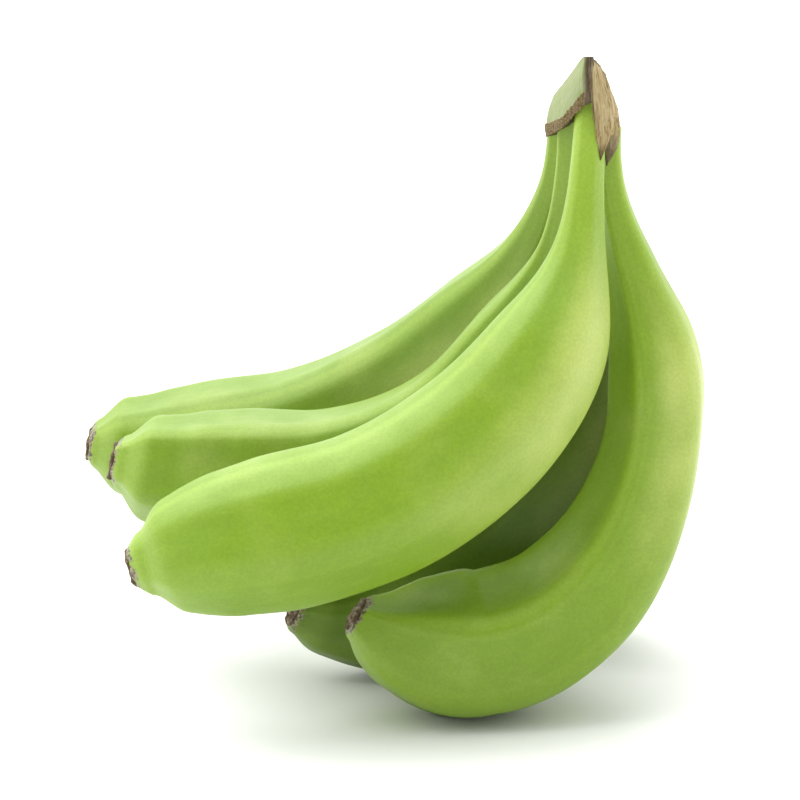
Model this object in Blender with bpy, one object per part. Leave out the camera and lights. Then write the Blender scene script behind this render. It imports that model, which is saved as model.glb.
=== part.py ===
"""A bunch of unripe bananas: a cut crown with two rows of three fingers.

The bunch stands on the convex backs of its lower row, with the crown on top. X runs across the
plane that the fingers curve in, with their tips towards -X. Y runs from the front fingers to the
back ones. Z is up.
"""

import math

import bmesh
import bpy
import numpy as np
from mathutils import Vector

MM = 0.001

# How finely a finger is cut: points along its spine, points from one ring to the next, and sides.
SPINE_POINTS = 81
RING_STRIDE = 2
SIDES = 15

# The blunt end past the last ring: how far ahead each closing ring lies, and its share of the radius.
TIP_DOME = ((0.35, 0.92), (0.60, 0.70))

# The five soft ridges along a finger: their height as a share of its radius, and how far the first
# one is turned from the inner curve, in degrees.
RIDGES = 5
RIDGE_HEIGHT = 0.03
RIDGE_TURN = -20

# Where along a finger its girth is stated, from 0 at the crown to 1 at the tip.
GIRTH_STATIONS = (0.0, 0.08, 0.20, 0.35, 0.50, 0.70, 0.85, 0.94, 1.0)
NECK_FLARE = 1.08

# Where along a finger each of its five bends is centred.
BEND_STATIONS = (0.1, 0.3, 0.5, 0.7, 0.9)
BENDS_PER_LENGTH = 5

# The crown's underside: its height over the front edge and how steeply it falls towards the back,
# for the upper row of fingers on the left and the lower row on the right.
UPPER_UNDERSIDE = 177.75
UPPER_FALL = 0.44
LOWER_UNDERSIDE = 169.5
LOWER_FALL = 0.24
CROWN_GAP = 0.4

# One entry per finger, in millimetres and degrees:
#   row      upper or lower
#   seat     where the neck meets the crown, across and back
#   heading  the way the tip points, turned from -X towards +Y
#   drift    how much further the heading turns between neck and tip
#   spread   how far the neck leans to the back as it leaves the crown
#   lean     how far the neck leans towards the tip as it leaves the crown
#   bends    the turn over each fifth of the length
#   girth    shares of the radius: at the neck, at 0.20, 0.35, 0.50, 0.85 and 0.94, and at the tip
FINGERS = {
    "banana_front_upper": {
        "row": "upper", "seat": (26.5, 1.5), "heading": 1, "drift": 2,
        "spread": -10, "lean": 3,
        "bends": (1, 31, 22, 23, -6), "length": 198.8, "radius": 21.2,
        "girth": (0.21, 0.32, 0.77, 0.94, 0.98, 0.77, 0.28),
    },
    "banana_middle_upper": {
        "row": "upper", "seat": (22, 14), "heading": 3, "drift": 0,
        "spread": 10, "lean": -3.5,
        "bends": (16, 20, 31, 30, 8), "length": 203.4, "radius": 21.1,
        "girth": (0.21, 0.31, 0.79, 0.89, 1.00, 0.74, 0.28),
    },
    "banana_back_upper": {
        "row": "upper", "seat": (20.5, 28), "heading": 3, "drift": 0,
        "spread": 29, "lean": 1.5,
        "bends": (17, 24, 14, 23, 19), "length": 213.1, "radius": 20.4,
        "girth": (0.21, 0.41, 0.83, 0.93, 1.00, 0.73, 0.28),
    },
    "banana_front_lower": {
        "row": "lower", "seat": (31.5, 8.5), "heading": -3, "drift": -2,
        "spread": -1, "lean": 3,
        "bends": (-30, 31, 24, 45, 54), "length": 206.9, "radius": 19.6,
        "girth": (0.21, 0.39, 0.68, 0.74, 1.00, 0.55, 0.28),
    },
    "banana_middle_lower": {
        "row": "lower", "seat": (31.5, 22.5), "heading": -5, "drift": -5,
        "spread": 11, "lean": -3.5,
        "bends": (-4, 16, 30, 21, 56), "length": 205, "radius": 19.1,
        "girth": (0.21, 0.30, 0.53, 0.96, 0.93, 0.58, 0.28),
    },
    "banana_back_lower": {
        "row": "lower", "seat": (29.7, 34), "heading": 3, "drift": 0,
        "spread": 22, "lean": -10.5,
        "bends": (-9, 13, 27, 35, 23), "length": 197.7, "radius": 19.4,
        "girth": (0.21, 0.34, 0.64, 0.84, 0.97, 0.72, 0.28),
    },
}

# The crown, section by section from front to back, in millimetres: how far back it lies, its left
# side, the step between the two undersides, its right side, how much of the full step hangs down,
# and the left and the right edge of its sloping top, each across and up.
CROWN_SECTIONS = (
    (-5, 24.0, 25.3, 26.8, 0.10, (24.0, 187.6), (25.8, 187.6)),
    (1, 20.8, 32.0, 33.0, 0.15, (23.9, 186.8), (28.6, 184.2)),
    (4, 19.4, 32.2, 33.4, 1.00, (23.3, 185.8), (30.1, 182.3)),
    (8, 18.0, 28.0, 34.0, 1.00, (22.5, 183.6), (31.0, 179.5)),
    (14, 16.4, 27.0, 34.6, 1.00, (20.9, 180.0), (31.8, 175.5)),
    (22, 15.4, 26.3, 35.2, 1.00, (18.6, 175.8), (32.0, 172.0)),
    (28, 15.0, 25.5, 35.2, 1.00, (17.0, 172.5), (31.5, 169.5)),
    (34, 16.5, 24.0, 34.5, 1.00, (18.5, 169.0), (30.0, 167.0)),
    (40, 20.0, 23.0, 31.0, 1.00, (21.5, 165.0), (28.0, 164.5)),
)

STEP_WIDTH = 0.7

CROWN_FINISH = {"colour": (0.42, 0.33, 0.2), "roughness": 0.8}
FINGER_FINISH = {"colour": (0.3, 0.52, 0.1), "roughness": 0.45}


def through(places, stations, values):
    """Reads a smooth curve that passes through the values at their stations."""
    stations = np.asarray(stations, float)
    values = np.asarray(values, float)
    slopes = np.gradient(values, stations)
    before = np.clip(np.searchsorted(stations, places, side="right") - 1, 0, len(stations) - 2)
    width = stations[before + 1] - stations[before]
    u = (places - stations[before]) / width
    start = (2 * u**3 - 3 * u**2 + 1) * values[before]
    start_slope = (u**3 - 2 * u**2 + u) * width * slopes[before]
    end = (3 * u**2 - 2 * u**3) * values[before + 1]
    end_slope = (u**3 - u**2) * width * slopes[before + 1]
    return start + start_slope + end + end_slope


def underside(row, back):
    """How high the crown's underside is over one row, at a distance from the front."""
    if row == "upper":
        return UPPER_UNDERSIDE - UPPER_FALL * back
    return LOWER_UNDERSIDE - LOWER_FALL * back


def seat(finger):
    """The middle of the neck's end, just under the crown."""
    across, back = finger["seat"]
    return across, back, underside(finger["row"], back) - CROWN_GAP


def spine(finger, count):
    """The finger's centre line and its direction, from the neck to the tip, in millimetres."""
    along = np.linspace(0, 1, count)
    curvature = np.interp(along, BEND_STATIONS, np.radians(finger["bends"]) * BENDS_PER_LENGTH)
    step = along[1]
    turned = np.concatenate([[0], np.cumsum((curvature[1:] + curvature[:-1]) / 2) * step])
    angle = math.radians(finger["lean"]) + turned
    heading = np.radians(finger["heading"] + finger["drift"] * along)
    outwards = np.stack([-np.cos(heading), np.sin(heading), 0 * heading], axis=1)
    first = math.radians(finger["heading"])
    sideways = np.array([math.sin(first), math.cos(first), 0])
    spread = math.radians(finger["spread"])
    downwards = math.cos(spread) * np.array([0, 0, -1]) + math.sin(spread) * sideways
    direction = np.cos(angle)[:, None] * downwards + np.sin(angle)[:, None] * outwards
    direction /= np.linalg.norm(direction, axis=1, keepdims=True)
    steps = (direction[1:] + direction[:-1]) / 2 * step * finger["length"]
    centre = np.array(seat(finger)) + np.concatenate([[[0, 0, 0]], np.cumsum(steps, axis=0)])
    return centre, direction


def girth(finger, along):
    """The finger's mean radius, in millimetres."""
    neck, fifth, third, half, late, nose, tip = finger["girth"]
    shares = (neck, neck * NECK_FLARE, fifth, third, half, 1.0, late, nose, tip)
    return finger["radius"] * through(along, GIRTH_STATIONS, shares)


def add_object(name, bm, colour, roughness):
    """Closes a mesh, points its faces outwards and gives it an object and a material."""
    bmesh.ops.recalc_face_normals(bm, faces=bm.faces[:])
    mesh = bpy.data.meshes.new(name)
    bm.to_mesh(mesh)
    bm.free()
    mesh.shade_smooth()
    material = bpy.data.materials.new(name)
    material.use_nodes = True
    shader = material.node_tree.nodes["Principled BSDF"]
    shader.inputs["Base Color"].default_value = (*colour, 1.0)
    shader.inputs["Roughness"].default_value = roughness
    mesh.materials.append(material)
    bpy.context.scene.collection.objects.link(bpy.data.objects.new(name, mesh))


def loft(bm, rings):
    """Skins rings of points that all have the same count, and caps both ends."""
    lines = [[bm.verts.new(point) for point in ring] for ring in rings]
    for near, far in zip(lines, lines[1:]):
        for side in range(len(near)):
            following = (side + 1) % len(near)
            bm.faces.new((near[side], near[following], far[following], far[side]))
    bm.faces.new(lines[0])
    bm.faces.new(lines[-1])


def section_ring(middle, tangent, side, size):
    """One ring of a finger: five soft ridges round its centre line."""
    inner = side.cross(tangent)
    ring = []
    for number in range(SIDES):
        turn = 2 * math.pi * number / SIDES
        reach = size * (1 + RIDGE_HEIGHT * math.cos(RIDGES * (turn - math.radians(RIDGE_TURN))))
        ring.append(middle + reach * (math.cos(turn) * inner + math.sin(turn) * side))
    return ring


def finger_rings(finger):
    """The rings of a finger from neck to tip, the first cut square to the crown's underside."""
    centre, direction = spine(finger, SPINE_POINTS)
    radius = girth(finger, np.linspace(0, 1, SPINE_POINTS))
    first = math.radians(finger["heading"])
    side = Vector((math.sin(first), math.cos(first), 0))
    rings = []
    for place in range(0, SPINE_POINTS, RING_STRIDE):
        middle = Vector(centre[place])
        tangent = Vector(direction[place])
        side = (side - side.dot(tangent) * tangent).normalized()
        rings.append(section_ring(middle, tangent, side, float(radius[place])))
    for ahead, share in TIP_DOME:
        tip_radius = float(radius[-1])
        rings.append(section_ring(middle + ahead * tip_radius * tangent, tangent, side, share * tip_radius))
    fall = UPPER_FALL if finger["row"] == "upper" else LOWER_FALL
    normal = Vector((0, fall, 1))
    top = Vector(centre[0])
    way = Vector(direction[0])
    rings[0] = [point - way * (point - top).dot(normal) / way.dot(normal) for point in rings[0]]
    return rings


def crown_section(section):
    """One cut across the crown, as a ring of points in the XZ plane."""
    back, left, step, right, hang, left_top, right_top = section
    upper = underside("upper", back)
    lower = upper + hang * (underside("lower", back) - upper)
    outline = ((left, upper), (step, upper), (step + STEP_WIDTH, lower), (right, lower), right_top, left_top)
    return [Vector((across, back, height)) for across, height in outline]


def middle_of_base(shapes):
    """The point under the middle of all the shapes, at the height of the surface they stand on."""
    points = [point for rings in shapes.values() for ring in rings for point in ring]
    low = [min(point[axis] for point in points) for axis in range(3)]
    high = [max(point[axis] for point in points) for axis in range(3)]
    return Vector(((low[0] + high[0]) / 2, (low[1] + high[1]) / 2, low[2]))


def main():
    for old in list(bpy.data.objects):
        bpy.data.objects.remove(old)
    shapes = {"crown": [crown_section(section) for section in CROWN_SECTIONS]}
    for name, finger in FINGERS.items():
        shapes[name] = finger_rings(finger)
    base = middle_of_base(shapes)
    for name, rings in shapes.items():
        bm = bmesh.new()
        loft(bm, [[(point - base) * MM for point in ring] for ring in rings])
        add_object(name, bm, **(CROWN_FINISH if name == "crown" else FINGER_FINISH))


main()
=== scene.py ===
"""The looks of a bunch of unripe bananas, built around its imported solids.

Six fingers with soft facets follow the bends of their solids, and grow from one cut crown with a
pale face, a dried band and two torn flaps of husk. Each finger ends in its dried flower scar.
"""

import math

import bmesh
import bpy
import numpy as np
from bpy.props import FloatProperty, FloatVectorProperty, IntProperty, PointerProperty
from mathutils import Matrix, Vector, noise


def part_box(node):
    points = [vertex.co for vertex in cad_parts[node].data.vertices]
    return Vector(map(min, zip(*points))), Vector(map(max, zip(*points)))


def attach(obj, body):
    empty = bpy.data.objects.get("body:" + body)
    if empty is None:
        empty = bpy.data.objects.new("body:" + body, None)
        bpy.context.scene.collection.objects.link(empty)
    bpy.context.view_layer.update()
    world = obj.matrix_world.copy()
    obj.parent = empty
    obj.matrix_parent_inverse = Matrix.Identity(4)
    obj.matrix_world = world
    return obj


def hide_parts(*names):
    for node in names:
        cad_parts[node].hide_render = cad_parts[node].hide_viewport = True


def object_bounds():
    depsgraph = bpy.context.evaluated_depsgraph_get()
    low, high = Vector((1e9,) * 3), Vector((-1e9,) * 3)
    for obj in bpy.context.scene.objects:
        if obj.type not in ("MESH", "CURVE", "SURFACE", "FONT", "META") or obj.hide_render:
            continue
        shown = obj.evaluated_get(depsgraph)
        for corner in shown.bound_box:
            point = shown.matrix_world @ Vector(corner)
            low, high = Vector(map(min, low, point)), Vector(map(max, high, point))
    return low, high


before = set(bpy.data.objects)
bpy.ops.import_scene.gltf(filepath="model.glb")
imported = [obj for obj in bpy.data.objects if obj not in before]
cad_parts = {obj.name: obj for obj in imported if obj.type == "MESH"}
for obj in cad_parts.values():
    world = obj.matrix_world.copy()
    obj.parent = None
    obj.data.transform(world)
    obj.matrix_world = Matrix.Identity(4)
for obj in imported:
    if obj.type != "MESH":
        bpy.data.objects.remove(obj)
SOLIDS_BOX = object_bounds()
CROWN_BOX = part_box("crown")

bl_info = {
    "name": "Unripe banana bunch",
    "version": (1, 0, 0),
    "blender": (4, 5, 0),
    "location": "3D View > Sidebar > Bananas",
    "description": "Builds a bunch of unripe bananas around its packed solids",
    "category": "Add Mesh",
}

MM = 0.001
BODY = "root"

# The solid of a finger: its sides, the distance under which its points are one, and the cosine
# between two faces that lie in one plane.
SOLID_SIDES = 15
SAME_POINT = 0.01 * MM
SAME_PLANE = 0.99999

# How much fuller than its solid a finger ends, at shares of the way from neck to tip: square, fat
# or plainly round.
BLUNT_TIP = (
    (0.868, 1.0), (0.908, 1.03), (0.935, 1.18), (0.954, 1.46), (0.974, 1.62), (0.986, 1.55), (1.0, 1.3)
)
FAT_TIP = ((0.82, 1.03), (0.868, 1.24), (0.908, 1.46), (0.935, 1.6), (0.954, 1.65), (0.974, 1.6), (1.0, 1.3))
ROUND_TIP = ((0.9, 1.0), (0.935, 1.1), (0.954, 1.25), (0.974, 1.32), (1.0, 1.25))
NO_LIFT = ((0.0, 0.0), (1.0, 0.0))
FACETS = 5

# Each finger's facets, by the way they face in degrees round its centre line, from its inner curve
# towards the back of the bunch; how flat they are and how soft the edges between them; its tone,
# from dark to light, which on the two lower fingers behind is mostly painted shade; how far its neck
# widens towards the next one in the row; the turn in degrees where its edge stays crisp and carries
# a painted highlight line; how much fuller than its solid it is at places from neck to tip; how
# far its centre line is lifted there, in millimetres; and how much longer it is.
FINGERS = {
    "front_upper": {
        "facets": (292, 227, 163, 98, 33),
        "depth": 0.93, "softness": 0.15, "tone": 0.0, "web": 0.3, "crisp": 342,
        "fuller": ((0.0, 0.93), (0.12, 0.93), (0.2, 1.0), (0.7, 0.99), *BLUNT_TIP),
        "lift": NO_LIFT,
        "longer": 1.9 * MM,
    },
    "middle_upper": {
        "facets": (287, 358, 72, 144, 216),
        "depth": 0.87, "softness": 0.12, "tone": -0.3, "web": 0.3, "crisp": 322,
        "fuller": ((0.0, 1.0), (0.7, 0.98), *BLUNT_TIP),
        "lift": NO_LIFT,
        "longer": 0.5 * MM,
    },
    "back_upper": {
        "facets": (276, 348, 60, 132, 204),
        "depth": 0.92, "softness": 0.12, "tone": -0.4, "web": 0.0, "crisp": 312,
        "fuller": (
            (0.0, 1.03), (0.2, 1.01), (0.32, 0.97), (0.45, 0.95), (0.62, 0.95), (0.78, 0.98), *BLUNT_TIP
        ),
        "lift": NO_LIFT,
        "longer": 0.0,
    },
    "front_lower": {
        "facets": (270, 336, 50, 122, 197),
        "depth": 0.895, "softness": 0.12, "tone": 0.0, "web": 0.3, "crisp": 303,
        "fuller": (
            (0.0, 1.0), (0.2, 1.0), (0.28, 1.06), (0.4, 0.98), (0.5, 1.05), (0.6, 1.02), (0.7, 1.0),
            (0.78, 1.0), *FAT_TIP,
        ),
        "lift": ((0.0, 0.0), (0.82, 0.0), (0.9, 1.0), (0.94, 0.6), (1.0, 0.0)),
        "longer": 0.0,
    },
    "middle_lower": {
        "facets": (280, 350, 60, 130, 205),
        # Its dark tone is painted shade, for the cavity it sits in behind the front fingers.
        "depth": 0.92, "softness": 0.1, "tone": -1.5, "web": 0.2, "crisp": 315,
        "fuller": ((0.0, 1.0), *ROUND_TIP),
        "lift": NO_LIFT,
        "longer": 0.0,
    },
    "back_lower": {
        "facets": (290, 2, 70, 140, 215),
        # Its darker tone is partly painted shade.
        "depth": 0.92, "softness": 0.1, "tone": -0.7, "web": 0.0, "crisp": 325,
        "fuller": ((0.0, 1.0), *ROUND_TIP),
        "lift": NO_LIFT,
        "longer": 0.0,
    },
}

# The crown's wall, station by station round it from the right corner of its front edge, clockwise
# as seen from above. In millimetres from the solid's left side, front and top: the wall's foot
# (across, back, down), its crest (across, back, down), and 1 where it wears the pale face.
CROWN_STATIONS = (
    ((11.0, 0.0, 12.4), (10.8, 0.0, 0.1), 1),
    ((9.3, 0.1, 13.3), (9.1, 0.1, 0.0), 1),
    ((8.8, 0.7, 14.0), (9.0, 0.8, 0.0), 1),
    ((7.4, 2.4, 15.6), (9.0, 2.6, 0.2), 1),
    ((5.6, 5.5, 18.2), (8.9, 5.5, 0.7), 1),
    ((3.8, 9.5, 20.7), (8.3, 9.5, 2.0), 1),
    ((2.6, 15.0, 22.2), (6.9, 15.0, 5.0), 1),
    ((1.4, 23.0, 23.9), (4.5, 23.0, 9.6), 1),
    ((1.2, 31.0, 25.2), (2.2, 31.0, 14.2), 1),
    ((2.3, 38.5, 26.2), (3.3, 38.0, 18.0), 1),
    ((6.4, 43.6, 27.0), (7.0, 43.0, 21.6), 1),
    ((12.0, 45.0, 28.2), (12.0, 43.5, 22.6), 0),
    ((17.5, 42.5, 28.0), (15.0, 41.0, 21.4), 0),
    ((20.2, 37.0, 27.0), (16.2, 36.0, 19.2), 0),
    ((20.8, 30.0, 26.0), (16.9, 29.5, 16.4), 0),
    ((20.5, 22.0, 24.3), (17.0, 22.0, 13.7), 0),
    ((19.6, 15.0, 22.4), (16.4, 15.5, 9.6), 0),
    ((18.6, 9.0, 21.9), (15.3, 9.5, 5.8), 0),
    ((17.5, 4.2, 21.6), (13.9, 6.0, 3.6), 0),
    ((15.6, 0.8, 21.4), (12.5, 3.2, 1.6), 0),
    ((13.4, -0.9, 21.2), (11.4, 1.2, 0.6), 0),
    ((12.1, -0.6, 19.0), (11.0, 0.3, 0.3), 0),
    ((11.3, -0.2, 14.2), (10.9, 0.1, 0.2), 0),
)

# The points round the crown's wall and up it; the line along the crown's top; how far in from the
# wall the rows of its top and its sole lie, as shares; and how the top bulges and the sole drops.
CROWN_ROUND = 300
CROWN_RISE = 66
CROWN_RIDGE = ((10.0, 2.5, 1.6), (10.5, 39.0, 20.5))
TOP_SHARES = np.linspace(0.08, 0.8, 9)
SOLE_SHARES = (0.7, 0.35, 0.08)
TOP_BULGE = 0.9
SOLE_DROP = 1.2

# Noise on the crown's wall: how often fibres, fine fibres and crumbs come in a millimetre round it
# and up it; and the waves of its foot and its band's top, by their amount, how often and seed.
FIBRE_PACE = (1.3, 0.07)
FINE_FIBRE_PACE = (3.1, 0.15)
CRUMB_PACE = (1.2, 1.1)
FOOT_WAVES = ((0.35, 0.9, 3.0), (0.2, 2.1, 7.0))
BAND_WAVE = (0.25, 0.8, 11.0)

# The dark slit at the crown's front edge, in millimetres: how far past the edge it starts to fade
# and has faded, how far before the edge it starts and is full, and its depth.
SLIT_AFTER = (1.5, 1.9)
SLIT_BEFORE = (1.7, 1.2)
SLIT_DEPTH = 0.5

# The torn flaps of husk, in the crown's own millimetres: a line of places from root to tip
# (across, back, down), the width at each, and how grey the flap has dried.
FLAPS = {
    "torn_flap_inner": {
        "line": ((14.2, 1.0, 17.5), (14.3, 0.2, 21.2), (14.1, 0.6, 24.0), (13.7, 1.6, 28.0)),
        "widths": (4.6, 4.1, 2.6, 0.3),
        "grey": 0.1,
    },
    "torn_flap_outer": {
        "line": ((16.6, 5.2, 17.0), (17.0, 4.4, 21.4), (16.8, 5.6, 25.4), (15.8, 7.0, 30.2)),
        "widths": (4.2, 4.4, 3.4, 0.3),
        "grey": 0.6,
    },
}
FLAP_ROWS = 40
FLAP_ACROSS = 17

# In millimetres: how far a flap bows out across its width, and how far its tip curls out.
FLAP_BOW = 0.5
FLAP_CURL = 0.8

# A flower scar: the points round it; its rings from rim to middle, as shares of its radius and how
# far each stands up; and the share within which the stub stands.
SCAR_ROUND = 48
SCAR_RINGS = (
    (0.97, -0.8), (1.0, -0.3), (1.0, 0.2), (0.93, 0.6), (0.8, 0.6), (0.66, 0.3), (0.52, 0.25),
    (0.4, 0.4), (0.3, 0.9), (0.2, 1.0), (0.1, 1.0),
)
STUB_SHARE = 0.35

# The stage: half the floor's width, the camera's sensor in millimetres, the way to the sun and its
# width in degrees, and how squarely the sky faces the front where its light falls.
FLOOR_HALF = 6.0
SENSOR_WIDTH = 36
SUN_WAY = (-0.3, 0.25, 1.0)
SUN_SPREAD = 75
FRONT_WAY = (0.0, -1.0, 0.0)
FRONT_FALL = (0.3, 0.95)


class FingerSettings(bpy.types.PropertyGroup):
    sides: IntProperty(name="Sides", description="Points round each finger", default=96, min=24)
    rings: IntProperty(name="Rings", description="Rings along each finger", default=230, min=60)
    neck_reach: FloatProperty(
        name="Neck reach",
        description="The share of a finger over which its neck narrows again",
        default=0.13,
    )
    lumps: FloatProperty(
        name="Lumps",
        description="How far the skin wanders in and out",
        default=0.35 * MM,
        unit="LENGTH",
    )
    skin: FloatVectorProperty(
        name="Skin", description="The green of the body", subtype="COLOR", default=(0.165, 0.285, 0.008)
    )
    pale_skin: FloatVectorProperty(
        name="Pale skin",
        description="The green of the necks and the edges",
        subtype="COLOR",
        default=(0.30, 0.44, 0.045),
    )
    deep_skin: FloatVectorProperty(
        name="Deep skin",
        description="The darker green of the mottling",
        subtype="COLOR",
        default=(0.12, 0.215, 0.005),
    )
    blush: FloatVectorProperty(
        name="Blush",
        description="The yellow of the ripest patches",
        subtype="COLOR",
        default=(0.39, 0.47, 0.11),
    )


class CrownSettings(bpy.types.PropertyGroup):
    band_height: FloatProperty(
        name="Band height", description="Height of the dried band", default=3.7 * MM, unit="LENGTH"
    )
    band_proud: FloatProperty(
        name="Band depth",
        description="How far the dried band stands out from the pale face",
        default=0.5 * MM,
        unit="LENGTH",
    )
    fibre_depth: FloatProperty(
        name="Fibre depth", description="Depth of the dried fibres", default=0.5 * MM, unit="LENGTH"
    )
    flap_thickness: FloatProperty(
        name="Flap thickness", description="Thickness of the torn husk", default=0.7 * MM, unit="LENGTH"
    )
    pale_face: FloatVectorProperty(
        name="Pale face", description="The cut face", subtype="COLOR", default=(0.25, 0.295, 0.13)
    )
    dried_husk: FloatVectorProperty(
        name="Dried husk", description="The fibrous face", subtype="COLOR", default=(0.36, 0.29, 0.14)
    )
    dark_husk: FloatVectorProperty(
        name="Dark husk", description="The band and the gaps", subtype="COLOR", default=(0.085, 0.06, 0.025)
    )


class ScarSettings(bpy.types.PropertyGroup):
    cover: FloatProperty(
        name="Cover", description="The scar's radius as a share of the finger's end", default=1.0
    )
    stub: FloatProperty(
        name="Stub", description="Height of the dried stub", default=1.1 * MM, unit="LENGTH"
    )
    scar_brown: FloatVectorProperty(
        name="Scar brown", description="The dried flower end", subtype="COLOR", default=(0.075, 0.045, 0.025)
    )
    scar_grey: FloatVectorProperty(
        name="Scar grey", description="Its weathered parts", subtype="COLOR", default=(0.34, 0.29, 0.2)
    )


class StageSettings(bpy.types.PropertyGroup):
    distance: FloatProperty(
        name="Distance", description="From the camera to the bunch", default=0.8, unit="LENGTH"
    )
    elevation: FloatProperty(
        name="Elevation",
        description="The camera's angle above the floor",
        default=math.radians(12),
        subtype="ANGLE",
    )
    aim: FloatVectorProperty(
        name="Aim",
        description="From the middle of the solids to the camera's aim",
        default=(3.0 * MM, -19.2 * MM, -5.3 * MM),
        subtype="TRANSLATION",
    )
    lens: FloatProperty(name="Lens", description="Focal length in millimetres", default=126.8)
    sky_light: FloatProperty(name="Sky light", description="Strength of the even light", default=1.75)
    front_light: FloatProperty(
        name="Front light", description="Strength of the even light from the front", default=0.25
    )
    key_light: FloatProperty(name="Key light", description="Strength of the soft sun", default=3.2)
    floor: FloatVectorProperty(
        name="Floor", description="The floor's colour", subtype="COLOR", default=(0.8, 0.8, 0.8)
    )


class NodeBuilder:
    """Adds nodes to one tree. Each method but node gives back the new node's result."""

    def __init__(self, tree):
        self.tree = tree

    def node(self, kind, inputs=None, **settings):
        made = self.tree.nodes.new(kind)
        for name, value in settings.items():
            setattr(made, name, value)
        for place, value in (inputs or {}).items():
            if isinstance(value, bpy.types.NodeSocket):
                self.tree.links.new(value, made.inputs[place])
            elif value is not None:
                made.inputs[place].default_value = value
        return made

    def result(self, kind, inputs=None, **settings):
        return self.node(kind, inputs, **settings).outputs[0]

    def math(self, operation, first, second=None, third=None):
        return self.result("ShaderNodeMath", {0: first, 1: second, 2: third}, operation=operation)

    def times(self, first, second):
        return self.math("MULTIPLY", first, second)

    def vector(self, operation, first, second=None):
        made = self.node("ShaderNodeVectorMath", {0: first, 1: second}, operation=operation)
        return made.outputs["Value" if operation in ("DOT_PRODUCT", "LENGTH") else "Vector"]

    def scaled(self, vector, factor):
        return self.result("ShaderNodeVectorMath", {0: vector, "Scale": factor}, operation="SCALE")

    def step(self, value, start, end, low=0.0, high=1.0):
        """A smooth rise from low at start to high at end."""
        values = {0: value, 1: start, 2: end, 3: low, 4: high}
        return self.result("ShaderNodeMapRange", values, interpolation_type="SMOOTHSTEP")

    def noise(self, place, scale, detail=2.0, roughness=0.5):
        values = {"Vector": place, "Scale": scale, "Detail": detail, "Roughness": roughness}
        return self.result("ShaderNodeTexNoise", values)

    def mix(self, factor, first, second):
        """Blends two colours."""
        values = {0: factor, 6: first, 7: second}
        return self.node("ShaderNodeMix", values, data_type="RGBA").outputs[2]

    def attribute(self, name, output="Fac"):
        return self.node("ShaderNodeAttribute", attribute_name=name).outputs[output]

    def place(self):
        return self.node("ShaderNodeTexCoord").outputs["Object"]


def add_socket(tree, name, kind, way, value=None):
    socket = tree.interface.new_socket(name, in_out=way, socket_type="NodeSocket" + kind)
    if value is not None:
        socket.default_value = value


def opaque(colour):
    return (*colour, 1.0)


# ---- shared effects


def plant_fibre_group():
    """Fine streaks that run along the growth, and a soft blotching between them."""
    found = bpy.data.node_groups.get("plant fibre")
    if found:
        return found
    tree = bpy.data.node_groups.new("plant fibre", "ShaderNodeTree")
    add_socket(tree, "Growth place", "Vector", "INPUT")
    add_socket(tree, "Streak scale", "Float", "INPUT", 4.0)
    add_socket(tree, "Streak length", "Float", "INPUT", 10.0)
    add_socket(tree, "Streaks", "Float", "OUTPUT")
    add_socket(tree, "Blotches", "Float", "OUTPUT")
    build = NodeBuilder(tree)
    given = build.node("NodeGroupInput").outputs
    parts = build.node("ShaderNodeSeparateXYZ", {0: given["Growth place"]}).outputs
    drawn_out = build.math("DIVIDE", parts["Z"], given["Streak length"])
    along = build.result("ShaderNodeCombineXYZ", {0: parts["X"], 1: parts["Y"], 2: drawn_out})
    streaks = build.noise(along, given["Streak scale"], detail=5.0, roughness=0.6)
    blotches = build.noise(given["Growth place"], build.times(given["Streak scale"], 0.3), 3.0)
    build.node("NodeGroupOutput", {"Streaks": streaks, "Blotches": blotches})
    return tree


def fibres(build, place, scale, length):
    """Places the shared fibre effect, and gives back its streaks and blotches."""
    group = build.node("ShaderNodeGroup", node_tree=plant_fibre_group())
    build.tree.links.new(place, group.inputs["Growth place"])
    group.inputs["Streak scale"].default_value = scale
    group.inputs["Streak length"].default_value = length
    return group.outputs["Streaks"], group.outputs["Blotches"]


def new_material(name, roughness, specular):
    """A material with its shader, and a builder for the nodes that feed it."""
    material = bpy.data.materials.new(name)
    material.use_nodes = True
    shader = material.node_tree.nodes["Principled BSDF"]
    shader.inputs["Roughness"].default_value = roughness
    shader.inputs["Specular IOR Level"].default_value = specular
    return material, shader, NodeBuilder(material.node_tree)


def add_bump(build, shader, height, distance, strength):
    values = {"Height": height, "Distance": distance, "Strength": strength}
    bump = build.node("ShaderNodeBump", values)
    build.tree.links.new(bump.outputs["Normal"], shader.inputs["Normal"])


# ---- materials

# Where along a finger its colours change: the pale neck ends, the ripe shoulder starts and ends,
# the tip pales, and the burnt ring begins.
NECK_PALE = (0.04, 0.28)
SHOULDER_STARTS = (0.14, 0.3)
SHOULDER_ENDS = (0.66, 0.42)
TIP_PALE = (0.9, 0.985)
BURNT = (1.010, 1.014)

# Where round a section the blush of its outer side starts and is full, from -1 at the outer curve
# to 1 at the inner one.
OUTER_SIDE = (0.45, -0.25)

# How many of each kind of spot come in a metre.
CLOUD_SCALE = 38.0
SPECKLE_SCALE = 1200.0
CRUMBLE_SCALE = 420.0
CRUMPLE_SCALE = 900.0

SKIN_RELIEF = 0.4 * MM
HUSK_RELIEF = 0.5 * MM

CRUST_DARK = (0.05, 0.032, 0.018, 1.0)
CRUST_PALE = (0.27, 0.22, 0.15, 1.0)
FIBRE_DARK = (0.2, 0.12, 0.045, 1.0)
# The pale fibre colour is partly a painted highlight; the crevice colour is painted shade.
PALE_FIBRE_AND_HIGHLIGHT = (0.52, 0.44, 0.26, 1.0)
CREVICE_SHADE = (0.11, 0.065, 0.025, 1.0)
FACE_WORN = (0.30, 0.31, 0.2, 1.0)
FACE_VEINS = (0.17, 0.235, 0.065, 1.0)
SCAB_BROWN = (0.30, 0.22, 0.10, 1.0)
SLIT_DARK = (0.10, 0.08, 0.05, 1.0)
SLIT_PALE = (0.26, 0.2, 0.14, 1.0)
WEATHERED = (0.2, 0.16, 0.11, 1.0)


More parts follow.
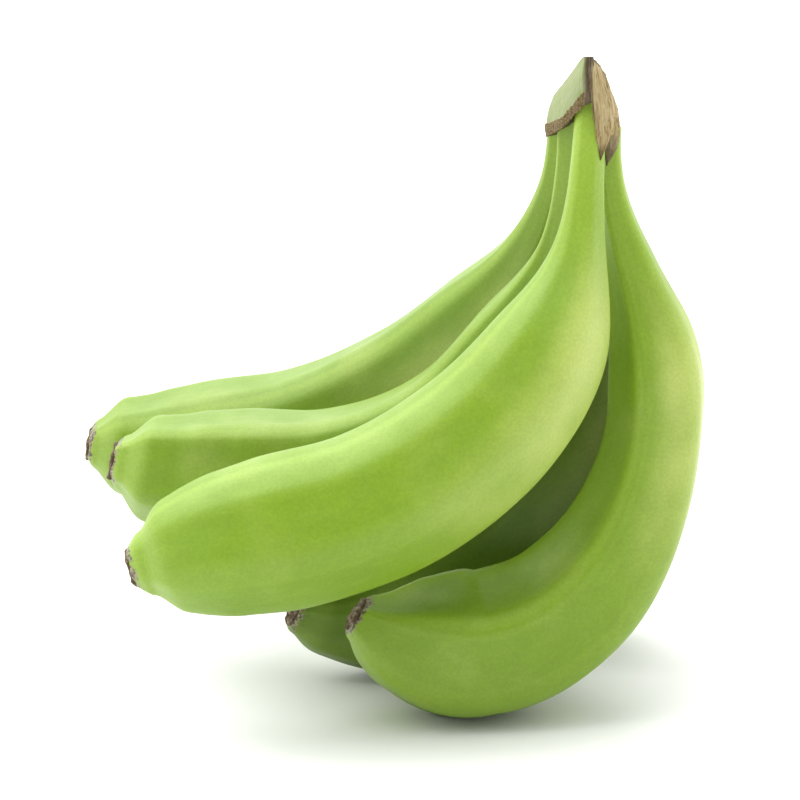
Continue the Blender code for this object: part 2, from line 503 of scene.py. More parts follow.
def banana_skin(sizes):
    """Waxy green peel: paler necks and edges, soft mottling, fine streaks and a yellow blush, with a
    painted highlight line along one crisp edge and painted shade on the lower fingers behind.
    """
    material, shader, build = new_material("banana skin", roughness=0.46, specular=0.42)
    pale, blush = opaque(sizes.pale_skin), opaque(sizes.blush)
    along = build.attribute("along")
    streaks, blotches = fibres(build, build.attribute("skin_place", "Vector"), scale=5.0, length=2.2)
    clouds = build.noise(build.place(), CLOUD_SCALE, 3.0)
    speckle = build.noise(build.place(), SPECKLE_SCALE, 2.0)
    body = build.mix(build.step(blotches, 0.3, 0.8, high=0.3), opaque(sizes.skin), opaque(sizes.deep_skin))
    body = build.mix(build.step(streaks, 0.45, 0.8, high=0.16), body, pale)
    section = build.node("ShaderNodeSeparateXYZ", {0: build.attribute("skin_place", "Vector")}).outputs
    outer = build.step(section["X"], *OUTER_SIDE)
    shoulder = build.times(build.step(along, *SHOULDER_STARTS), build.step(along, *SHOULDER_ENDS))
    ripe = build.times(outer, shoulder)
    ripe = build.times(ripe, build.step(clouds, 0.3, 0.65, 0.45, 1.0))
    body = build.mix(build.times(ripe, 0.9), body, blush)
    body = build.mix(build.step(clouds, 0.5, 0.8, high=0.3), body, blush)
    edge = build.step(build.attribute("ridge"), 0.6, 1.0, high=0.1)
    body = build.mix(edge, body, pale)
    # A thin painted highlight along each finger's crisp edge.
    body = build.mix(build.times(build.attribute("rim"), 0.3), body, pale)
    neck = build.step(along, *NECK_PALE, 0.5, 0.0)
    body = build.mix(neck, body, pale)
    tip = build.step(along, *TIP_PALE, high=0.25)
    body = build.mix(tip, body, pale)
    # The tone darkens or lightens whole fingers; on the two lower fingers behind it is painted shade.
    tone = build.math("MULTIPLY_ADD", build.attribute("tone"), 0.25, 1.0)
    tone = build.times(tone, build.step(speckle, 0.3, 0.7, 0.94, 1.05))
    body = build.scaled(body, tone)
    crumble = build.noise(build.place(), CRUMBLE_SCALE, detail=4.0, roughness=0.6)
    burnt = build.math("MULTIPLY_ADD", crumble, 0.034, along)
    crust = build.mix(build.step(speckle, 0.4, 0.6), CRUST_DARK, CRUST_PALE)
    body = build.mix(build.step(burnt, *BURNT, high=0.95), body, crust)
    build.tree.links.new(body, shader.inputs["Base Color"])
    shine = build.step(blotches, 0.3, 0.8, 0.42, 0.54)
    build.tree.links.new(shine, shader.inputs["Roughness"])
    relief = build.math("ADD", build.times(streaks, 0.6), build.times(speckle, 0.25))
    add_bump(build, shader, relief, SKIN_RELIEF, strength=0.35)
    return material


def cut_crown(sizes):
    """The crown: fibrous dried husk with painted shade in its crevices, a pale cut face, and a dark dried
    band along its foot.
    """
    material, shader, build = new_material("cut crown", roughness=0.8, specular=0.25)
    place = build.attribute("fibre_place", "Vector")
    streaks, blotches = fibres(build, place, scale=1.3, length=9.0)
    crevices = fibres(build, place, scale=0.6, length=7.0)[0]
    crumbs = build.noise(place, 2.2, detail=4.0, roughness=0.65)
    husk, dark, pale = opaque(sizes.dried_husk), opaque(sizes.dark_husk), opaque(sizes.pale_face)
    colour = build.mix(build.step(streaks, 0.36, 0.56, low=0.8, high=0.0), husk, FIBRE_DARK)
    # Pale fibres, partly a painted highlight on their crests, and dark crevices between them in painted
    # shade.
    colour = build.mix(build.step(crevices, 0.5, 0.66, high=0.7), colour, PALE_FIBRE_AND_HIGHLIGHT)
    colour = build.mix(build.step(crevices, 0.36, 0.46, low=0.8, high=0.0), colour, CREVICE_SHADE)
    green = build.mix(build.step(blotches, 0.35, 0.7), pale, FACE_WORN)
    green = build.mix(build.step(streaks, 0.42, 0.6, low=0.5, high=0.0), green, FACE_VEINS)
    colour = build.mix(build.attribute("pale"), colour, green)
    scab = build.mix(build.step(crumbs, 0.42, 0.68), dark, SCAB_BROWN)
    colour = build.mix(build.attribute("band"), colour, scab)
    slit = build.mix(build.step(streaks, 0.4, 0.6), SLIT_DARK, SLIT_PALE)
    colour = build.mix(build.attribute("strip"), colour, slit)
    colour = build.mix(build.attribute("rim"), colour, dark)
    build.tree.links.new(colour, shader.inputs["Base Color"])
    relief = build.math("ADD", build.times(streaks, 0.7), build.times(crumbs, 0.5))
    add_bump(build, shader, relief, HUSK_RELIEF, strength=0.7)
    return material


def torn_husk(sizes):
    """The flaps: the same dried husk, weathered grey and black towards the torn tips."""
    material, shader, build = new_material("torn husk", roughness=0.82, specular=0.2)
    streaks, blotches = fibres(build, build.attribute("fibre_place", "Vector"), scale=1.5, length=9.0)
    husk = opaque(sizes.dried_husk)
    colour = build.mix(build.step(streaks, 0.38, 0.58, low=0.8, high=0.0), husk, FIBRE_DARK)
    greyed = build.times(build.attribute("grey"), build.step(build.attribute("torn"), 0.2, 0.6))
    colour = build.mix(greyed, colour, WEATHERED)
    worn = build.math("ADD", build.attribute("torn"), build.math("MULTIPLY_ADD", blotches, 0.5, -0.25))
    colour = build.mix(build.step(worn, 0.55, 0.95, high=0.95), colour, opaque(sizes.dark_husk))
    build.tree.links.new(colour, shader.inputs["Base Color"])
    add_bump(build, shader, streaks, HUSK_RELIEF, strength=0.8)
    return material


def dried_flower(sizes):
    """The flower end: crumpled dark brown, with weathered grey on what stands up."""
    material, shader, build = new_material("dried flower end", roughness=0.85, specular=0.2)
    crumple = build.noise(build.place(), CRUMPLE_SCALE, detail=4.0, roughness=0.65)
    raised = build.attribute("raised")
    grey = build.times(raised, build.step(crumple, 0.4, 0.6))
    colour = build.mix(grey, opaque(sizes.scar_brown), opaque(sizes.scar_grey))
    build.tree.links.new(colour, shader.inputs["Base Color"])
    add_bump(build, shader, crumple, HUSK_RELIEF, strength=0.8)
    return material


# ---- making pieces


def finish_piece(name, mesh, replaced=None):
    """Gives a finished mesh smooth shading, its object and its body, and hides the solid that it stands for.
    """
    mesh.name = name
    mesh.shade_smooth()
    piece = bpy.data.objects.new(name, mesh)
    bpy.context.scene.collection.objects.link(piece)
    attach(piece, BODY)
    if replaced:
        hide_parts(replaced)
    return piece


def store(mesh, name, values, kind="FLOAT"):
    """Keeps one value for each point of the mesh."""
    attribute = mesh.attributes.new(name, kind, "POINT")
    flat = np.ascontiguousarray(values, np.float32).ravel()
    attribute.data.foreach_set("vector" if kind == "FLOAT_VECTOR" else "value", flat)


def skin_rows(rows, closed_round, cap_ends):
    """A mesh over rows of points, each row one ring or one line across."""
    bm = bmesh.new()
    lines = [[bm.verts.new(point) for point in row] for row in rows]
    count = len(lines[0])
    for near, far in zip(lines, lines[1:]):
        for place in range(count if closed_round else count - 1):
            after = (place + 1) % count
            bm.faces.new((near[place], near[after], far[after], far[place]))
    if cap_ends:
        for line in (lines[0], lines[-1]):
            middle = bm.verts.new(sum((vert.co for vert in line), Vector()) / count)
            for place in range(count):
                bm.faces.new((line[place], line[(place + 1) % count], middle))
    bmesh.ops.recalc_face_normals(bm, faces=bm.faces[:])
    mesh = bpy.data.meshes.new("rows")
    bm.to_mesh(mesh)
    bm.free()
    return mesh


# ---- fingers

# How near the crisp turn, as a cosine, the edges start to sharpen and are sharpest; the share of
# their softness that is left there; and where the painted highlight line along it starts and is full.
CRISP_NEAR = (0.75, 0.97)
CRISP_SOFTNESS = 0.12
HIGHLIGHT_LINE_NEAR = (0.995, 0.9995)

# A facet is cut no further than this slant, a corner counts as a ridge from this reach, and a
# section is drawn out again by this share of what its facets took.
STEEPEST_SLANT = 0.1
RIDGE_REACH = 0.975
DRAWN_OUT = 0.25

# How many lumps come in a metre, and the finger's length in the skin's own places.
LUMP_SCALE = 32.0
SKIN_LENGTH = 9.0


def neck_ring(bm):
    """The points round the flat end of a finger's neck, the higher of its two flat ends."""
    unseen = dict.fromkeys(bm.faces)
    ends = []
    while unseen:
        patch = [unseen.popitem()[0]]
        for face in patch:
            for other in [other for edge in face.edges for other in edge.link_faces]:
                if other in unseen and other.normal.dot(patch[0].normal) > SAME_PLANE:
                    del unseen[other]
                    patch.append(other)
        if len(patch) == SOLID_SIDES - 2:
            ends.append(dict.fromkeys(vert for face in patch for vert in face.verts))
    if len(ends) != 2:
        raise RuntimeError(f"the solid has {len(ends)} flat ends, and two are needed")
    return list(max(ends, key=lambda verts: sum(vert.co.z for vert in verts)))


def spine_of(node):
    """A finger's centre line and girth from neck to tip, read ring by ring from its solid."""
    bm = bmesh.new()
    bm.from_mesh(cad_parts[node].data)
    bmesh.ops.remove_doubles(bm, verts=bm.verts[:], dist=SAME_POINT)
    bm.normal_update()
    ring = neck_ring(bm)
    passed = set()
    centres = []
    girths = []
    while ring:
        centre = sum((vert.co for vert in ring), Vector()) / len(ring)
        centres.append(centre)
        girths.append(sum((vert.co - centre).length for vert in ring) / len(ring))
        passed.update(ring)
        around = [edge.other_vert(vert) for vert in ring for edge in vert.link_edges]
        ring = [vert for vert in dict.fromkeys(around) if vert not in passed]
    bm.free()
    girths[0] = girths[1]
    return centres, girths


def grown_spine(name):
    """A finger's centre line and girth, made longer, lifted and fuller than its solid's."""
    centres, girths = spine_of("banana_" + name)
    ahead = (centres[-1] - centres[-2]).normalized()
    centres[-1] = centres[-1] + ahead * FINGERS[name]["longer"]
    shares = places_along(centres)
    lifts = np.interp(shares, *zip(*FINGERS[name]["lift"]))
    for centre, lift in zip(centres, lifts):
        centre.z += lift * MM
    fuller = np.interp(shares, *zip(*FINGERS[name]["fuller"]))
    return centres, (np.array(girths) * fuller).tolist()


def places_along(centres):
    """Each point's share of the way from the first to the last."""
    lengths = np.cumsum([0.0] + [(after - here).length for here, after in zip(centres, centres[1:])])
    return lengths / lengths[-1]


def bend_side(centres):
    """The level direction square to the plane that a finger bends in, towards the back."""
    outwards = (centres[-1] - centres[0]) * Vector((1, 1, 0))
    return outwards.normalized().cross(Vector((0, 0, 1)))


def spine_mesh(centres, girths):
    """The centre line as a chain of points that carry their girth and their place along it."""
    mesh = bpy.data.meshes.new("spine")
    mesh.from_pydata(centres, [(place, place + 1) for place in range(len(centres) - 1)], [])
    store(mesh, "girth", girths)
    store(mesh, "along", places_along(centres))
    return mesh


def faceted_reach(build, turn, facings, depth, softness):
    """How far a section with flat facets reaches at a turn, as a share of its corner's reach."""
    reach = 1.0
    for facing in facings:
        slant = build.math("COSINE", build.math("SUBTRACT", turn, facing))
        flat = build.math("DIVIDE", depth, build.math("MAXIMUM", slant, STEEPEST_SLANT))
        reach = build.math("SMOOTH_MIN", reach, flat, softness)
    return reach


def finger_tree():
    """Geometry nodes that sweep a faceted section along a spine."""
    tree = bpy.data.node_groups.new("banana finger", "GeometryNodeTree")
    add_socket(tree, "Spine", "Geometry", "INPUT")
    for name in ("Sides", "Rings"):
        add_socket(tree, name, "Int", "INPUT", 64)
    add_socket(tree, "Side way", "Vector", "INPUT")
    facings = [f"Facet {number}" for number in range(1, FACETS + 1)]
    shaping = ("Facet depth", "Edge softness", "Crisp edge", "Web", "Neck reach", "Lumps", "Tone")
    for name in (*facings, *shaping):
        add_socket(tree, name, "Float", "INPUT", 0.0)
    add_socket(tree, "Skin", "Material", "INPUT")
    add_socket(tree, "Finger", "Geometry", "OUTPUT")
    build = NodeBuilder(tree)
    given = build.node("NodeGroupInput").outputs

    line = build.result("GeometryNodeMeshToCurve", {0: given["Spine"]})
    line = build.result("GeometryNodeCurveSplineType", {0: line}, spline_type="CATMULL_ROM")
    line = build.result("GeometryNodeResampleCurve", {"Curve": line, "Count": given["Rings"]})
    tangent = build.result("GeometryNodeInputTangent")
    part = build.vector("DOT_PRODUCT", given["Side way"], tangent)
    side = build.vector("SUBTRACT", given["Side way"], build.scaled(tangent, part))
    side = build.vector("NORMALIZE", side)
    line = build.result("GeometryNodeSetCurveNormal", {"Curve": line, "Normal": side}, mode="FREE")
    girth = build.result("GeometryNodeInputNamedAttribute", {"Name": "girth"}, data_type="FLOAT")
    along = build.result("GeometryNodeInputNamedAttribute", {"Name": "along"}, data_type="FLOAT")
    kept = build.node("GeometryNodeCaptureAttribute")
    inner = build.vector("CROSS_PRODUCT", side, tangent)
    spine_place = build.result("GeometryNodeInputPosition")
    for name, kind, value in (
        ("along", "FLOAT", along),
        ("centre", "VECTOR", spine_place),
        ("side", "VECTOR", side),
        ("inner", "VECTOR", inner),
    ):
        kept.capture_items.new(kind, name)
        build.tree.links.new(value, kept.inputs[name])
    build.tree.links.new(line, kept.inputs["Geometry"])
    circle = build.node("GeometryNodeCurvePrimitiveCircle", {"Resolution": given["Sides"], "Radius": 1.0})
    swept = {"Curve": kept.outputs[0], "Profile Curve": circle.outputs[0], "Scale": girth, "Fill Caps": True}
    surface = build.result("GeometryNodeCurveToMesh", swept)

    place = build.result("GeometryNodeInputPosition")
    spoke = build.vector("SUBTRACT", place, kept.outputs["centre"])
    across = build.vector("DOT_PRODUCT", spoke, kept.outputs["side"])
    inwards = build.vector("DOT_PRODUCT", spoke, kept.outputs["inner"])
    turn = build.math("ARCTAN2", across, inwards)
    sockets = [given[name] for name in facings]
    near_crisp = build.math("COSINE", build.math("SUBTRACT", turn, given["Crisp edge"]))
    sharpening = build.step(near_crisp, *CRISP_NEAR, 1.0, CRISP_SOFTNESS)
    softness = build.times(given["Edge softness"], sharpening)
    reach = faceted_reach(build, turn, sockets, given["Facet depth"], softness)
    usual = build.math("MULTIPLY_ADD", given["Facet depth"], DRAWN_OUT, 1 - DRAWN_OUT)
    evened = build.math("DIVIDE", reach, usual)
    wander = build.math("SUBTRACT", build.noise(place, LUMP_SCALE, 1.0), 0.5)
    wander = build.times(wander, given["Lumps"])
    moved = build.scaled(spoke, evened)
    moved = build.vector("ADD", moved, build.scaled(build.vector("NORMALIZE", spoke), wander))
    flare = build.step(kept.outputs["along"], 0.0, given["Neck reach"], given["Web"], 0.0)
    behind = build.math("MAXIMUM", across, 0.0)
    widened = build.scaled(kept.outputs["side"], build.times(behind, flare))
    moved = build.vector("ADD", build.vector("ADD", moved, widened), kept.outputs["centre"])

    ridge = build.step(reach, given["Facet depth"], RIDGE_REACH)
    # The painted highlight line along the crisp edge.
    rim = build.step(near_crisp, *HIGHLIGHT_LINE_NEAR)
    long_way = build.times(kept.outputs["along"], SKIN_LENGTH)
    around = {0: build.math("COSINE", turn), 1: build.math("SINE", turn), 2: long_way}
    skin_place = build.result("ShaderNodeCombineXYZ", around)
    for name, kind, value in (
        ("ridge", "FLOAT", ridge),
        ("rim", "FLOAT", rim),
        ("along", "FLOAT", kept.outputs["along"]),
        ("tone", "FLOAT", given["Tone"]),
        ("skin_place", "FLOAT_VECTOR", skin_place),
    ):
        stored = {"Geometry": surface, "Name": name, "Value": value}
        surface = build.result("GeometryNodeStoreNamedAttribute", stored, data_type=kind)
    surface = build.result("GeometryNodeSetPosition", {"Geometry": surface, "Position": moved})
    surface = build.result("GeometryNodeRealizeInstances", {0: surface})
    surface = build.result("GeometryNodeSetMaterial", {0: surface, "Material": given["Skin"]})
    build.node("NodeGroupOutput", {0: surface})
    return tree


def grown_mesh(host_mesh, tree, values):
    """Runs a geometry tree on a mesh with the named values, and gives back the plain result."""
    host = bpy.data.objects.new("host", host_mesh)
    bpy.context.scene.collection.objects.link(host)
    modifier = host.modifiers.new("grow", "NODES")
    modifier.node_group = tree
    for item in tree.interface.items_tree:
        if item.item_type == "SOCKET" and item.in_out == "INPUT" and item.name in values:
            modifier[item.identifier] = values[item.name]
    graph = bpy.context.evaluated_depsgraph_get()
    mesh = bpy.data.meshes.new_from_object(host.evaluated_get(graph), depsgraph=graph)
    bpy.data.objects.remove(host)
    return mesh


def point_outwards(mesh):
    bm = bmesh.new()
    bm.from_mesh(mesh)
    bmesh.ops.recalc_face_normals(bm, faces=bm.faces[:])
    bm.to_mesh(mesh)
    bm.free()


def build_fingers(sizes):
    tree = finger_tree()
    skin = banana_skin(sizes)
    for name, finger in FINGERS.items():
        centres, girths = grown_spine(name)
        values = {
            "Sides": sizes.sides,
            "Rings": sizes.rings,
            "Side way": bend_side(centres),
            "Facet depth": finger["depth"],
            "Edge softness": finger["softness"],
            "Crisp edge": math.radians(finger["crisp"]),
            "Web": finger["web"],
            "Neck reach": sizes.neck_reach,
            "Lumps": sizes.lumps * 2,
            "Tone": finger["tone"],
            "Skin": skin,
        }
        for number, facing in enumerate(finger["facets"], 1):
            values[f"Facet {number}"] = math.radians(facing)
        mesh = grown_mesh(spine_mesh(centres, girths), tree, values)
        point_outwards(mesh)
        finish_piece("finger_" + name, mesh, "banana_" + name)


# ---- crown


def crown_place(across, back, down):
    """A place in the crown's own millimetres, from its solid's left side, front and top."""
    low, high = CROWN_BOX
    return Vector((low.x + across * MM, low.y + back * MM, high.z - down * MM))


def smooth_loop(points, count):
    """A closed smooth line through the points, as that many points."""
    points = np.asarray(points, float)
    places = np.arange(count) * len(points) / count
    before = places.astype(int)
    u = (places - before)[:, None]
    last, here, ahead, next_one = (points[(before + shift) % len(points)] for shift in (-1, 0, 1, 2))
    bent = (2 * last - 5 * here + 4 * ahead - next_one) * u**2
    bent += (3 * here - last - 3 * ahead + next_one) * u**3
    return (2 * here + (ahead - last) * u + bent) / 2


def even_loop(points, count):
    """The same closed line, with its points evenly spaced by their first three columns."""
    fine = smooth_loop(points, count * 8)
    closed = np.vstack([fine, fine[:1]])
    steps = np.linalg.norm(np.diff(closed[:, :3], axis=0), axis=1)
    length = np.concatenate([[0], np.cumsum(steps)])
    places = np.arange(count) * length[-1] / count
    columns = [np.interp(places, length, closed[:, column]) for column in range(closed.shape[1])]
    return np.stack(columns, axis=1), places


def rise(value, start, end):
    share = np.clip((value - start) / (end - start), 0, 1)
    return share * share * (3 - 2 * share)


def grain(first, second, third=0.0):
    """Smooth noise between -1 and 1, over whole arrays."""
    spots = np.broadcast(first, second, third)
    flat = [noise.noise(Vector(spot)) for spot in spots]
    return np.array(flat).reshape(spots.shape)


def wave(around, amount, pace, seed):
    return amount * grain(around * pace, seed)


def wall_grain(around, height, pace, seed):
    return grain(around * pace[0], height * pace[1], seed)


def crown_wall(sizes):
    """The crown's wall as rows of points from foot to crest, with its zones."""
    table = [(*foot, *crest, pale) for foot, crest, pale in CROWN_STATIONS]
    loop, around = even_loop(table, CROWN_ROUND)
    foot, crest, pale_side = loop[:, :3], loop[:, 3:6], np.clip(loop[:, 6], 0, 1)
    foot[:, 2] += sum(wave(around, *numbers) for numbers in FOOT_WAVES)
    tangent = np.roll(foot, -1, axis=0) - np.roll(foot, 1, axis=0)
    outwards = np.stack([-tangent[:, 1], tangent[:, 0], 0 * around], axis=1)
    outwards /= np.linalg.norm(outwards, axis=1, keepdims=True)
    up = np.linspace(0, 1, CROWN_RISE)[:, None]
    height = up * np.linalg.norm(crest - foot, axis=1)[None, :]
    band_top = sizes.band_height / MM + wave(around, *BAND_WAVE)[None, :]
    above_band = rise(height, band_top - 0.2, band_top + 0.3)
    starts, full = (around[-1] - reach for reach in SLIT_BEFORE)
    strip = np.maximum(1 - rise(around, *SLIT_AFTER), rise(around, starts, full))
    strip = strip[None, :] + 0 * height
    fibre = wall_grain(around, height, FIBRE_PACE, 0.0)
    fibre = fibre + 0.5 * wall_grain(around, height, FINE_FIBRE_PACE, 5.0)
    crumbs = wall_grain(around, height, CRUMB_PACE, 9.0)
    dried = 1 - pale_side * above_band
    proud = pale_side * (1 - above_band) * (1 - strip) * sizes.band_proud / MM
    proud = proud + np.sin(math.pi * up) * (1 - strip)
    proud = proud + sizes.fibre_depth / MM * (0.15 + 0.85 * dried) * fibre
    proud = proud + 0.2 * dried * crumbs - SLIT_DEPTH * strip * (height > 0)
    rows = foot + up[:, :, None] * (crest - foot) + proud[:, :, None] * outwards
    rim = rise(up, 0.93, 1.0) * (0.4 + 0.6 * (1 - pale_side)) + 0 * height
    zones = {
        "pale": pale_side * above_band * (1 - strip),
        "band": pale_side * (1 - above_band) * (1 - strip),
        "strip": strip,
        "rim": np.clip(rim + 0.5 * rise(crumbs, 0.2, 0.5) * rim, 0, 1),
    }
    return rows, zones, np.stack([around + 0 * height, 0 * height, height], axis=2)


def crown_ridge_pull(row, share):
    """The row drawn in towards the line along the crown's top."""
    start, end = (np.array(place) for place in CROWN_RIDGE)
    back = np.clip((row[:, 1] - start[1]) / (end[1] - start[1]), 0, 1)[:, None]
    return row + (start + back * (end - start) - row) * share


def build_crown(sizes):
    wall, zones, fibre_place = crown_wall(sizes)
    foot, crest = wall[0], wall[-1]
    tops = []
    for share in TOP_SHARES:
        row = crown_ridge_pull(crest, share)
        row[:, 2] += TOP_BULGE * math.sin(math.pi * share)
        row[:, 2] += 0.3 * grain(row[:, 0] * 0.9, row[:, 1] * 0.9, 2.0)
        tops.append(row)
    soles = []
    for share in SOLE_SHARES:
        row = foot + (foot.mean(axis=0) - foot) * share * (1, 1, 0)
        row[:, 2] -= SOLE_DROP * min(share * 4, 1)
        soles.append(row)
    rows = [*soles, *wall, *tops]
    placed = [[crown_place(*point) for point in row] for row in rows]
    mesh = skin_rows(placed, True, True)
    spare = len(soles) * CROWN_ROUND
    for name, values in zones.items():
        full = np.zeros(len(mesh.vertices))
        full[spare : spare + values.size] = values.ravel()
        if name == "rim":
            full[:spare] = 0.8
            full[spare + values.size :] = 0.35
        store(mesh, name, full)
    everywhere = np.zeros((len(mesh.vertices), 3))
    flat_rows = np.concatenate([np.asarray(row) for row in rows])
    everywhere[: len(flat_rows)] = flat_rows[:, [0, 2, 1]]
    everywhere[spare : spare + fibre_place.size // 3] = fibre_place.reshape(-1, 3)
    store(mesh, "fibre_place", everywhere, "FLOAT_VECTOR")
    mesh.materials.append(cut_crown(sizes))
    finish_piece("cut_crown", mesh, "crown")


def flap_rows(flap, seed):
    """One torn flap as rows across it in the crown's own millimetres, and how far down each lies."""
    stations = np.linspace(0, 1, len(flap["line"]))
    down = np.linspace(0, 1, FLAP_ROWS)
    line = np.stack([np.interp(down, stations, column) for column in zip(*flap["line"])], axis=1)
    width = np.interp(down, stations, flap["widths"])
    across = np.linspace(-0.5, 0.5, FLAP_ACROSS)
    rows = []
    for share, centre, wide in zip(down, line, width):
        ragged = wide + 0.5 * noise.noise(Vector((share * 9, seed, 0))) * share
        bow = FLAP_BOW * (1 - 4 * across**2) + 0.25 * grain(across * wide * 1.4, share * 1.5, seed)
        curl = FLAP_CURL * share**3
        rows.append(centre + np.stack([across * ragged, -bow - curl, 0 * across], axis=1))
    return np.array(rows), down


def build_flaps(sizes):
    husk = torn_husk(sizes)
    for seed, (name, flap) in enumerate(FLAPS.items(), 1):
        rows, down = flap_rows(flap, seed)
        behind = rows + np.array((0, sizes.flap_thickness / MM, 0))
        loops = np.concatenate([rows, behind[:, ::-1]], axis=1)
        mesh = skin_rows([[crown_place(*point) for point in row] for row in loops], True, True)
        count = loops.shape[0] * loops.shape[1]
        worn = np.ones(len(mesh.vertices))
        worn[:count] = np.repeat(down, loops.shape[1])
        store(mesh, "torn", worn)
        store(mesh, "grey", np.full(len(mesh.vertices), flap["grey"]))
        growth = np.zeros((len(mesh.vertices), 3))
        growth[:count] = loops.reshape(-1, 3)
        store(mesh, "fibre_place", growth, "FLOAT_VECTOR")
        mesh.materials.append(husk)
        finish_piece(name, mesh)


# ---- flower ends


def scar_rows(centre, ahead, radius, sizes, seed):
    """A crumpled cap over a finger's end, as rings of points, and how far each one stands up."""
    side = ahead.orthogonal().normalized()
    other = ahead.cross(side)
    turns = np.linspace(0, 2 * math.pi, SCAR_ROUND + 1)[:-1]
    rows = []
    raised = []
    for share, lift in SCAR_RINGS:
        in_stub = share < STUB_SHARE
        ring = []
        for turn in turns:
            way = Vector((math.cos(turn), math.sin(turn), 0))
            ragged = noise.noise(way * 1.6 + Vector((seed, 0, 0)))
            crumple = noise.noise(way * 3.4 * share + Vector((0, seed, lift)))
            reach = radius * share * (1 + 0.1 * ragged * share)
            rise_up = lift * sizes.stub if in_stub else lift * MM
            rise_up += (0.5 * crumple + 0.4 * ragged) * MM * (not in_stub) * (lift > 0)
            ring.append(centre + ahead * rise_up + reach * (way.x * side + way.y * other))
            raised.append(min(max(0.3 + crumple + 0.6 * in_stub, 0), 1) * (lift > 0))
        rows.append(ring)
    return rows, raised


def build_scars(sizes):
    finish = dried_flower(sizes)
    for seed, name in enumerate(FINGERS, 1):
        centres, girths = grown_spine(name)
        ahead = (centres[-1] - centres[-2]).normalized()
        rows, raised = scar_rows(centres[-1], ahead, girths[-1] * sizes.cover, sizes, seed * 3.7)
        mesh = skin_rows(rows, True, True)
        store(mesh, "raised", raised + [0.0, 1.0])
        mesh.materials.append(finish)
        finish_piece("flower_scar_" + name, mesh)


# ---- stage


def add_sun(name, towards, strength, spread):
    """An even soft light from one side of the sky, as wide as the spread in degrees."""
    light = bpy.data.lights.new(name, "SUN")
    light.angle = math.radians(spread)
    light.energy = strength
    holder = bpy.data.objects.new(name, light)
    bpy.context.scene.collection.objects.link(holder)
    holder.rotation_euler = Vector(towards).to_track_quat("Z", "Y").to_euler()


def build_floor(sizes):
    """A wide pale floor, level with the underside of the solids."""
    half = FLOOR_HALF
    level = SOLIDS_BOX[0][2]
    corners = [(-half, -half, level), (half, -half, level), (half, half, level), (-half, half, level)]
    mesh = bpy.data.meshes.new("floor")
    mesh.from_pydata(corners, [], [(0, 1, 2, 3)])
    material, shader = new_material("pale floor", roughness=0.6, specular=0.2)[:2]
    shader.inputs["Base Color"].default_value = opaque(sizes.floor)
    mesh.materials.append(material)
    floor = bpy.data.objects.new("floor", mesh)
    bpy.context.scene.collection.objects.link(floor)


def build_camera(sizes):
    low, high = (np.array(corner) for corner in SOLIDS_BOX)
    aim = Vector((low + high) / 2) + Vector(sizes.aim)
    back = Vector((0, -math.cos(sizes.elevation), math.sin(sizes.elevation)))
    camera = bpy.data.cameras.new("camera")
    camera.lens = sizes.lens
    camera.sensor_width = SENSOR_WIDTH
    holder = bpy.data.objects.new("camera", camera)
    bpy.context.scene.collection.objects.link(holder)
    holder.location = aim + back * sizes.distance
    holder.rotation_euler = (-back).to_track_quat("-Z", "Y").to_euler()
    bpy.context.scene.camera = holder


def build_stage(sizes):
    scene = bpy.context.scene
    scene.view_settings.view_transform = "Standard"
    build_floor(sizes)
    build_camera(sizes)
    world = bpy.data.worlds.new("studio")
    world.use_nodes = True
    sky = world.node_tree.nodes["Background"]
    sky.inputs["Color"].default_value = (1.0, 1.0, 1.0, 1.0)
    build = NodeBuilder(world.node_tree)
    seen = build.node("ShaderNodeLightPath").outputs["Is Camera Ray"]
    sky_way = build.node("ShaderNodeTexCoord").outputs["Generated"]
    from_front = build.vector("DOT_PRODUCT", sky_way, FRONT_WAY)
    even = build.step(from_front, *FRONT_FALL, sizes.sky_light, sizes.front_light)
    glow = build.result("ShaderNodeMapRange", {0: seen, 3: even, 4: 1.0})
    world.node_tree.links.new(glow, sky.inputs["Strength"])
    scene.world = world
    add_sun("high soft sun", SUN_WAY, sizes.key_light, SUN_SPREAD)


# ---- add-on


class BANANAS_OT_fingers(bpy.types.Operator):
    """Grow the six fingers along the spines of their solids"""

    bl_idname = "bananas.fingers"
    bl_label = "Fingers"

    def execute(self, context):
        build_fingers(context.scene.banana_fingers)
        return {"FINISHED"}


class BANANAS_OT_crown(bpy.types.Operator):
    """Build the cut crown that the fingers grow from"""

    bl_idname = "bananas.crown"
    bl_label = "Crown"

    def execute(self, context):
        build_crown(context.scene.banana_crown)
        return {"FINISHED"}


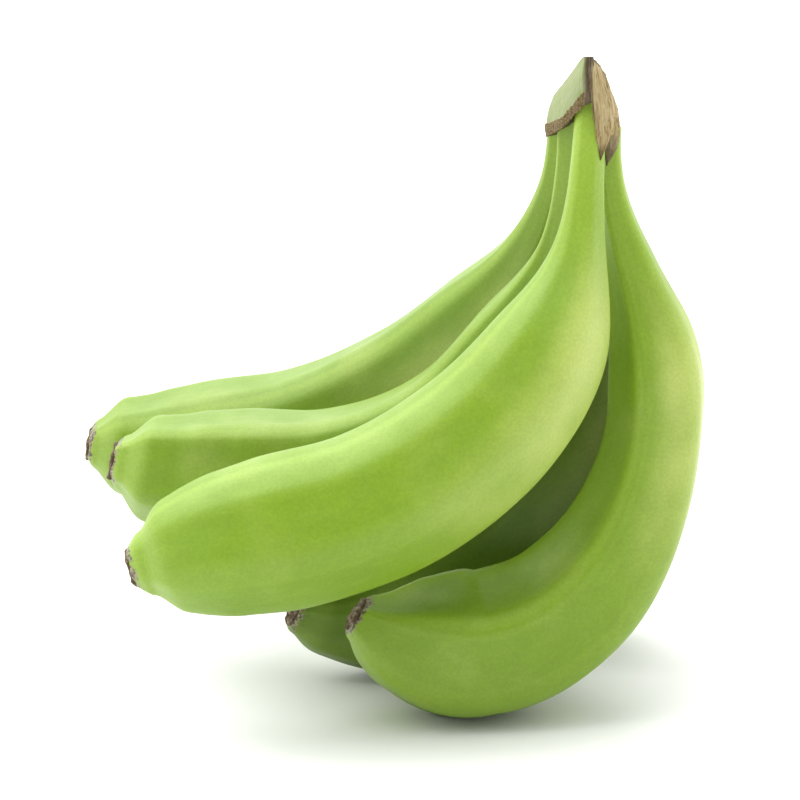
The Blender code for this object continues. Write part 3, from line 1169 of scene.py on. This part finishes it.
class BANANAS_OT_flaps(bpy.types.Operator):
    """Hang the torn flaps of husk from the crown"""

    bl_idname = "bananas.flaps"
    bl_label = "Torn flaps"

    def execute(self, context):
        build_flaps(context.scene.banana_crown)
        return {"FINISHED"}


class BANANAS_OT_scars(bpy.types.Operator):
    """Cap each finger with its dried flower scar"""

    bl_idname = "bananas.scars"
    bl_label = "Flower scars"

    def execute(self, context):
        build_scars(context.scene.banana_scars)
        return {"FINISHED"}


class BANANAS_OT_stage(bpy.types.Operator):
    """Set the floor, the soft lights and the camera"""

    bl_idname = "bananas.stage"
    bl_label = "Stage"

    def execute(self, context):
        build_stage(context.scene.banana_stage)
        return {"FINISHED"}


OPERATORS = (
    BANANAS_OT_fingers,
    BANANAS_OT_crown,
    BANANAS_OT_flaps,
    BANANAS_OT_scars,
    BANANAS_OT_stage,
)

SETTINGS = {
    "banana_fingers": FingerSettings,
    "banana_crown": CrownSettings,
    "banana_scars": ScarSettings,
    "banana_stage": StageSettings,
}


class BANANAS_PT_bunch(bpy.types.Panel):
    """The bunch's sizes, colours and pieces"""

    bl_label = "Banana bunch"
    bl_space_type = "VIEW_3D"
    bl_region_type = "UI"
    bl_category = "Bananas"

    def draw(self, context):
        for operator in OPERATORS:
            self.layout.operator(operator.bl_idname)
        for name, settings in SETTINGS.items():
            box = self.layout.box()
            for field in settings.__annotations__:
                box.prop(getattr(context.scene, name), field)


def register():
    for settings in SETTINGS.values():
        bpy.utils.register_class(settings)
    for name, settings in SETTINGS.items():
        setattr(bpy.types.Scene, name, PointerProperty(type=settings))
    for operator in OPERATORS:
        bpy.utils.register_class(operator)
    bpy.utils.register_class(BANANAS_PT_bunch)


def unregister():
    bpy.utils.unregister_class(BANANAS_PT_bunch)
    for operator in reversed(OPERATORS):
        bpy.utils.unregister_class(operator)
    for name in SETTINGS:
        delattr(bpy.types.Scene, name)
    for settings in reversed(SETTINGS.values()):
        bpy.utils.unregister_class(settings)


def main():
    register()
    bpy.ops.bananas.fingers()
    bpy.ops.bananas.crown()
    bpy.ops.bananas.flaps()
    bpy.ops.bananas.scars()
    bpy.ops.bananas.stage()


if __name__ == "__main__":
    main()
